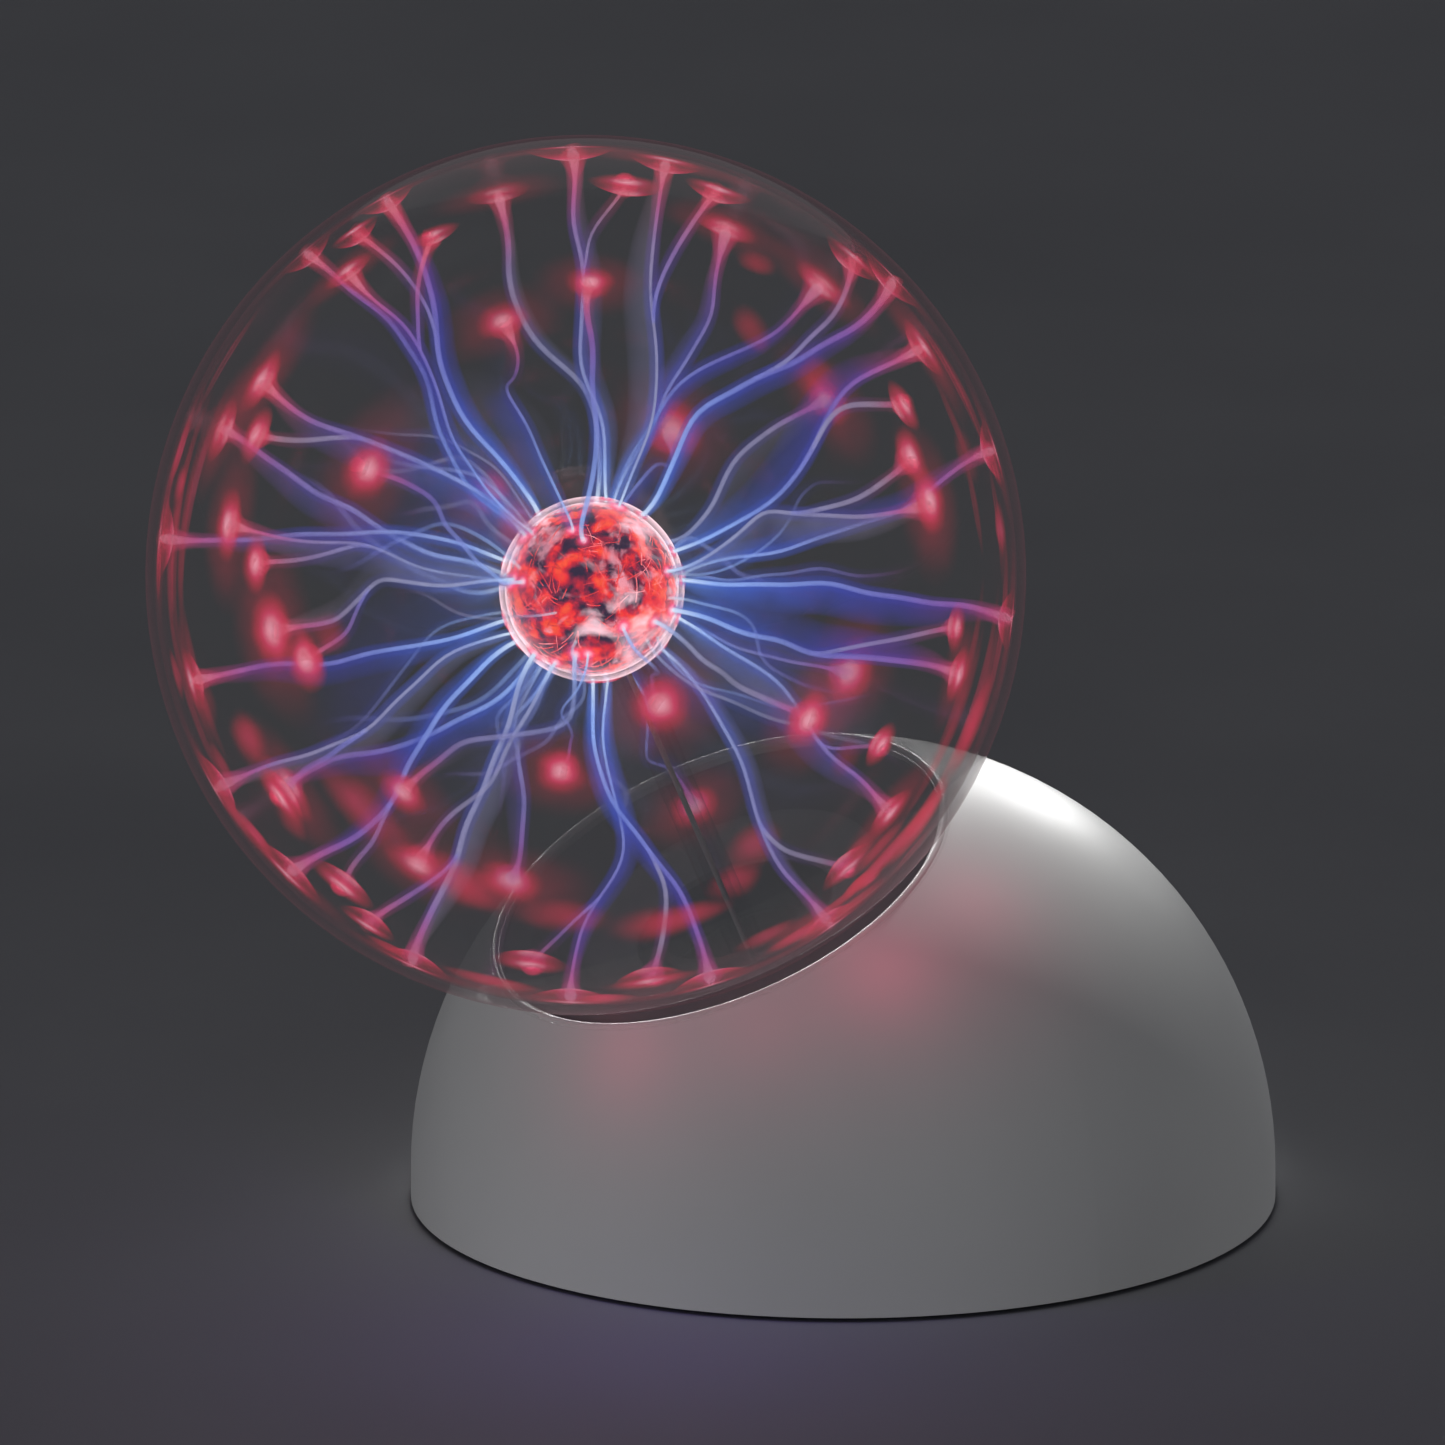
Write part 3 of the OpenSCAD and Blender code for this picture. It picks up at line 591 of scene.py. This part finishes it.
def draw_filament(path, bright, wide, stray=False):
    """A thin bright channel, a soft round glow about it and, unless wide is 0, a broad faint veil
    to one side, twice as broad as wide. A stray one fades out before it gets to the glass."""
    pale = rng.choice((0.0, 0.1, 0.25, 0.5, 0.75))
    thick = rng.uniform(0.24, 0.48) * MM
    dim = rng.uniform(0.5, 1.0)

    def fade(t):
        return 1 - smoothstep((t - 0.5) / 0.5) if stray else 1

    def ease(t):
        return smoothstep((t + 0.05) / 0.12) * fade(t)

    def thin(t, a):
        """The channel, which dims on its way to the glass and swells just before it."""
        r = thick * (0.9 + 0.4 * t) + 0.4 * MM * smoothstep((t - 0.86) / 0.14) ** 2 * fade(t)
        share = 0.95 - 0.25 * smoothstep(t / 0.6) - 0.35 * smoothstep((t - 0.85) / 0.15)
        paler = pale * smoothstep(t / 0.2) * (1 - smoothstep((t - 0.7) / 0.2))
        return r * math.cos(a), r * math.sin(a), bright * share * fade(t), paler

    def soft(t, a):
        """The round glow."""
        r = (1.0 + 0.5 * math.sin(math.pi * t) + 0.9 * smoothstep((t - 0.82) / 0.18)) * MM
        return r * math.cos(a), r * math.sin(a), 0.32 * bright * ease(t), pale * 0.2

    channel.tube(path, thin, 8)
    haze.tube(path, soft, 12)
    if not wide:
        return
    lean = rng.uniform(-0.6, 0.6)
    flip = rng.choice((-1, 1))
    flat = (path[-1] - path[0]).cross(TOWARDS)

    def sheet(t, a):
        """The veil, a flat tube that thins out from the channel to its other edge."""
        half = flip * wide * (0.20 + 0.80 * math.sin(math.pi * min(1.0, t * 1.04)) ** 0.8)
        across, over = half * (1 + math.cos(a)), 0.35 * MM * math.sin(a)
        near = (0.5 - 0.5 * math.cos(a)) ** 0.7
        glow = 0.66 * dim * bright * ease(t) * near * (1 - 0.5 * smoothstep((t - 0.7) / 0.3))
        return (across * math.cos(lean) - over * math.sin(lean),
                across * math.sin(lean) + over * math.cos(lean), glow, pale)

    haze.tube(path, sheet, 14, flat)


def ending(path, long):
    """The last stretch of a path, in evenly spaced points."""
    first = max(i for i, at in enumerate(path) if (at - path[-1]).length >= long)
    spots = []
    for i in range(ENDING_POINTS):
        at = first + (len(path) - 1 - first) * i / (ENDING_POINTS - 1)
        low = min(int(at), len(path) - 2)
        spots.append(path[low].lerp(path[low + 1], at - low))
    return spots


def draw_funnel(piece, path, wide, glow, pale):
    """A soft funnel of glow that opens towards the glass along a path."""
    def ring(t, a):
        r = wide * (0.06 + 0.94 * smoothstep(t) ** 1.5) * (1 - 0.75 * smoothstep((t - 0.86) / 0.14))
        lit = glow * smoothstep(t / 0.6)
        return r * math.cos(a), r * math.sin(a), lit, pale * smoothstep((t - 0.3) / 0.6)

    piece.tube(path, ring, 14)


def draw_root(at, size, bright):
    """Pale glow where a filament leaves the electrode's glass."""
    draw_flare(roots, at, size, ABOVE, 1.0, 0.8 * bright, 1.0, BULB, BULB_R + 0.1 * MM, -0.25 * MM)


def add_filament(angle, share, behind, wide, bright, fork):
    """A filament with its root, with two funnels and two flares at its end, and with one of each
    at its fork's end."""
    end = on_glass(angle, share, behind)
    path = filament_path(end, (1.5, 4.0))
    draw_filament(path, bright, wide * VEIL_UNIT)
    size = rng.uniform(2.8, 4.2) * MM * (1.5 - 0.5 * share ** 3)
    stretch = 1.0 + 0.9 * share ** 4
    deep = (0.6 + 1.8 * share ** 6) * MM
    tail = ending(path, rng.uniform(6, 10) * MM)
    draw_funnel(haze, tail, 0.75 * size, 0.42 * bright, 0.0)
    draw_funnel(channel, tail, 0.30 * size, 0.70 * bright, 0.6)
    draw_root(path[0], rng.uniform(1.6, 3.0) * MM, bright)
    draw_flare(flares, end, size * 1.05, round_view(end), stretch, 0.88 * bright, deep=deep)
    draw_flare(flares, end, size * 2.1, round_view(end), stretch * rng.uniform(1.0, 1.4),
               0.14 * bright, 0.0)
    if fork is None:
        return
    first = int(rng.uniform(0.5, 0.68) * (STEPS - 1))
    fork_end = on_glass(fork, share * rng.uniform(0.88, 1.0), behind)
    branch = []
    for i in range(first, STEPS):
        t = (i - first) / (STEPS - 1 - first)
        branch.append(path[i] + (fork_end - end) * t ** 1.3)
    draw_filament(branch, bright * 0.8, 0)
    draw_flare(flares, fork_end, size * 0.9, round_view(fork_end), stretch, 0.85 * bright, deep=deep)
    draw_funnel(haze, ending(branch, 7 * MM), 0.65 * size, 0.55 * bright, 0.0)


def add_stray():
    """A faint filament that ends in the gas, to the sides of the view or low in it."""
    start = rng.randrange(STEPS // 3)
    angle = rng.choice((0, 180, 180, 250, 345)) + rng.uniform(-38, 38)
    end = on_glass(angle, rng.uniform(0.5, 0.95), rng.random() < 0.6)
    path = filament_path(end, (2.5, 6.0))
    draw_filament(path[:STEPS - start], rng.uniform(0.22, 0.42), rng.choice((2, 4, 7)) * MM, stray=True)


def any_way():
    """A random direction, not of unit length."""
    return Vector([rng.gauss(0, 1) for _ in range(3)])


def add_clouds(count):
    """Large faint flares anywhere on the glass."""
    for _ in range(count):
        at = GLOBE + any_way().normalized() * FLARE_R
        draw_flare(flares, at, rng.uniform(3, 6) * MM, ABOVE, rng.uniform(0.7, 1.6),
                   rng.uniform(0.12, 0.3), 0.0)


def add_flares(count, angle, share, behind, size, long, bright, pale):
    """Flares drawn out round the view. angle() gives each one's angle, behind is the chance that
    it is on the far side, and the others are ranges, with the size in mm."""
    for _ in range(count):
        at = on_glass(angle(), rng.uniform(*share), behind > 0 and rng.random() < behind)
        draw_flare(flares, at, rng.uniform(*size) * MM, round_view(at), rng.uniform(*long),
                   rng.uniform(*bright), rng.uniform(*pale))


for row in MAIN:
    add_filament(*row)
for _ in range(20):
    add_stray()
# Long smears along the left and right edges, and flares all along the edge but its top
add_flares(20, lambda: rng.choice((5, 180)) + rng.uniform(-32, 32), (0.92, 0.999), 0.5,
           (1.0, 2.2), (7, 13), (0.12, 0.28), (0, 0.5))
add_flares(16, lambda: rng.uniform(145, 385), (0.955, 1.0), 0.5,
           (2.4, 5.5), (1.2, 2.5), (0.3, 0.7), (0, 0.5))
add_clouds(12)
# Broad flares low down, and bright ones at the lower right
add_flares(14, lambda: rng.uniform(205, 320), (0.70, 0.96), 0.4,
           (3.5, 6.5), (0.8, 2.2), (0.16, 0.36), (0, 0.35))
add_flares(9, lambda: rng.uniform(300, 348), (0.93, 0.999), 0,
           (3.0, 6.0), (1.4, 3.0), (0.35, 0.65), (0, 0.3))
channel.build(plasma("channel_look", 1.05, 0.7, CHANNEL_STOPS, CHANNEL_GREY))
haze.build(plasma("haze_look", 0.92, 1.4, HAZE_STOPS, HAZE_GREY))
flares.build(flare_light("flare_look", 1.0))
roots.build(flare_light("root_look", 1.7))


# ---------------------------------------------------------------- electrode

WOOL_R = BULB_R - BULB_WALL - 0.15 * MM


def wool_ball():
    """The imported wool: a rough ball inside the bulb, with hollows."""
    bm = bmesh.new()
    bmesh.ops.create_icosphere(bm, subdivisions=6, radius=WOOL_R)
    for vert in bm.verts:
        out = vert.co.normalized()
        lump = noise.fractal(out * 4.5, 0.8, 2.1, 4) * 0.045 + abs(noise.noise(out * 17)) * 0.03
        vert.co = out * WOOL_R * min(0.99, 0.945 + lump) + BULB
    mesh = bpy.data.meshes.new("wool_ball")
    bm.to_mesh(mesh)
    bm.free()
    mesh.shade_smooth()
    mesh.materials.append(hot_wool())
    made = bpy.data.objects.new("wool_ball", mesh)
    made.visible_diffuse = False
    bpy.context.scene.collection.objects.link(made)
    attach(made, "base")
    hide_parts("electrode_wool")


def wool_fibres():
    """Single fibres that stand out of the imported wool, curled close to the bulb's inside."""
    fibres = Piece("wool_fibres")
    for _ in range(420):
        start = any_way().normalized()
        turn = any_way().cross(start).normalized()
        bend = start.cross(turn)
        long = rng.uniform(0.12, 0.42)
        curl = rng.uniform(-0.35, 0.35)
        rise = rng.uniform(0.95, 0.985)
        path = []
        for k in range(9):
            t = k / 8
            out = (start + turn * long * t + bend * curl * long * t * t).normalized()
            path.append(BULB + out * WOOL_R * (rise + 0.02 * math.sin(math.pi * t)))
        thick = rng.uniform(0.05, 0.10) * MM
        fibres.tube(path, lambda t, a: (thick * math.cos(a), thick * math.sin(a), 1, 0), 5)
    fibres.build(hot_fibre())


wool_ball()
wool_fibres()


# ---------------------------------------------------------------- studio

FLOOR_SIZE = 14


def floor():
    s = Shader("floor_look")
    base = s.ramp(s.noise(1.5, 3), [(0.3, (0.60, 0.60, 0.62)), (0.7, (0.64, 0.64, 0.66))])
    look = s.done(s.principled(Base_Color=base, Roughness=s.spread(s.noise(9, 4), 0.55, 0.7)))
    bpy.ops.mesh.primitive_plane_add(size=FLOOR_SIZE)
    made = bpy.context.object
    made.name = "floor"
    made.data.materials.append(look)


def lamp(kind, name, at, power, colour, receivers, aim=None, diffuse=True, **settings):
    """A lamp that is kept out of reflections and the picture or, with diffuse False, shows only in
    reflections. receivers is the one mesh that it lights, "object" for all but the floor, or None."""
    data = bpy.data.lights.new(name, kind)
    data.energy = power
    data.color = colour
    for key, value in settings.items():
        setattr(data, key, value)
    made = bpy.data.objects.new(name, data)
    made.location = at
    if aim is not None:
        made.rotation_euler = (aim - at).to_track_quat("-Z", "Y").to_euler()
    bpy.context.scene.collection.objects.link(made)
    made.visible_camera = False
    made.visible_glossy = not diffuse
    made.visible_diffuse = diffuse
    if receivers is None:
        return
    lit = bpy.data.collections.new(name + "_receivers")
    for piece in bpy.context.scene.objects:
        whole = receivers == "object" and piece.name != "floor"
        if piece.type == "MESH" and (whole or piece.name == receivers):
            lit.objects.link(piece)
    made.light_linking.receiver_collection = lit


def disk(name, at, power, receivers, aim, size, diffuse=True, colour=(1, 1, 1)):
    lamp("AREA", name, at, power, colour, receivers, aim, diffuse, shape="DISK", size=size)


def on_dome(across, up, clearance=0.0):
    """A point on the dome or clear of it, from where it shows in the front view in base radii."""
    towards = math.sqrt(1 - across * across - up * up)
    normal = SIDE * across + ABOVE * up + TOWARDS * towards
    return DOME + normal * (BASE_R + clearance)


def room():
    """The floor, and a dim grey world."""
    world = bpy.data.worlds.new("studio")
    world.use_nodes = True
    world.node_tree.nodes["Background"].inputs["Color"].default_value = (0.034, 0.035, 0.040, 1)
    bpy.context.scene.world = world
    floor()


def studio_lamps():
    """A narrow key on the dome's shoulder, soft fills, and cards that only show as reflections.
    Their places are in metres from the object."""
    shoulder = on_dome(0.36, 0.88)
    lamp("SPOT", "key", shoulder + (AWAY * 0.72 + UP * 0.68 + SIDE * 0.15) * 0.6, 13.5, (1, 0.99, 0.97),
         "dome_shell", shoulder, spot_size=math.radians(8.2), spot_blend=1.0, shadow_soft_size=0.02)
    sheen_at = DOME + (SIDE * 0.25 + AWAY * 0.91 + UP * 0.32) * 1.2
    disk("sheen_card", sheen_at, 3.2, "dome_shell", shoulder, 0.3, diffuse=False)
    # Each fill's name, its place, its watts, and what it lights
    fills = [
        ("left_fill", -SIDE * 1.0 - AWAY * 1.05 + UP * 0.28, 3.7, "object"),
        ("right_fill", SIDE * 1.5 - AWAY * 0.25 + UP * 0.45, 2.6, "object"),
        ("back_fill", AWAY * 1.4 + SIDE * 0.5 + UP * 0.40, 2.8, "object"),
        ("floor_fill", UP * 2.0, 0.72, "floor"),
    ]
    for name, at, power, receivers in fills:
        disk(name, at, power, receivers, UP * BASE_R, 0.5, colour=(0.98, 0.99, 1.0))
    disk("card", AWAY * 1.5 + UP * 0.75, 0.5, None, GLOBE, 1.3, diffuse=False)
    disk("lip_card", AWAY * 0.9 + UP * 0.75 - SIDE * 0.2, 28, "dome_shell", DOME, 0.6, diffuse=False)


def glow_lamps():
    """The light that the plasma throws on the base and the floor."""
    # Where each lamp is over the dome, in base radii of the front view, and its watts
    spills = [(0.09, 0.46, 0.0025), (0.30, 0.62, 0.0016), (-0.50, 0.28, 0.0019), (-0.2, 0.34, 0.0011)]
    for across, up, power in spills:
        lamp("POINT", "pink_spill", on_dome(across, up, 14 * MM), power, (1, 0.08, 0.20), "object",
             shadow_soft_size=0.008)
    lamp("POINT", "plasma_light", BULB, 0.03, (1, 0.62, 0.8), "object", shadow_soft_size=0.012)
    before_base = (-AWAY * 1.17 - SIDE * 0.42) * BASE_R + UP * 0.06
    lamp("POINT", "violet_spill", before_base, 0.010, (0.35, 0.22, 1.0), "floor",
         shadow_soft_size=0.012)


# The width of the picture, and the point in its middle
FRAME_WIDTH = 3.343 * BASE_R
CAMERA_TARGET = (ABOVE * 1.102 - SIDE * 0.279) * BASE_R
CAMERA_DISTANCE = 12.0


def camera():
    """A long lens at the front view's angle."""
    data = bpy.data.cameras.new("camera")
    data.sensor_width = 36
    data.lens = data.sensor_width * CAMERA_DISTANCE / FRAME_WIDTH
    data.clip_end = 50
    made = bpy.data.objects.new("camera", data)
    made.location = CAMERA_TARGET + TOWARDS * CAMERA_DISTANCE
    made.rotation_euler = (-TOWARDS).to_track_quat("-Z", "Y").to_euler()
    bpy.context.scene.collection.objects.link(made)
    bpy.context.scene.camera = made


room()
studio_lamps()
glow_lamps()
camera()
scene = bpy.context.scene
scene.view_settings.view_transform = "Standard"
scene.cycles.transparent_max_bounces = 96
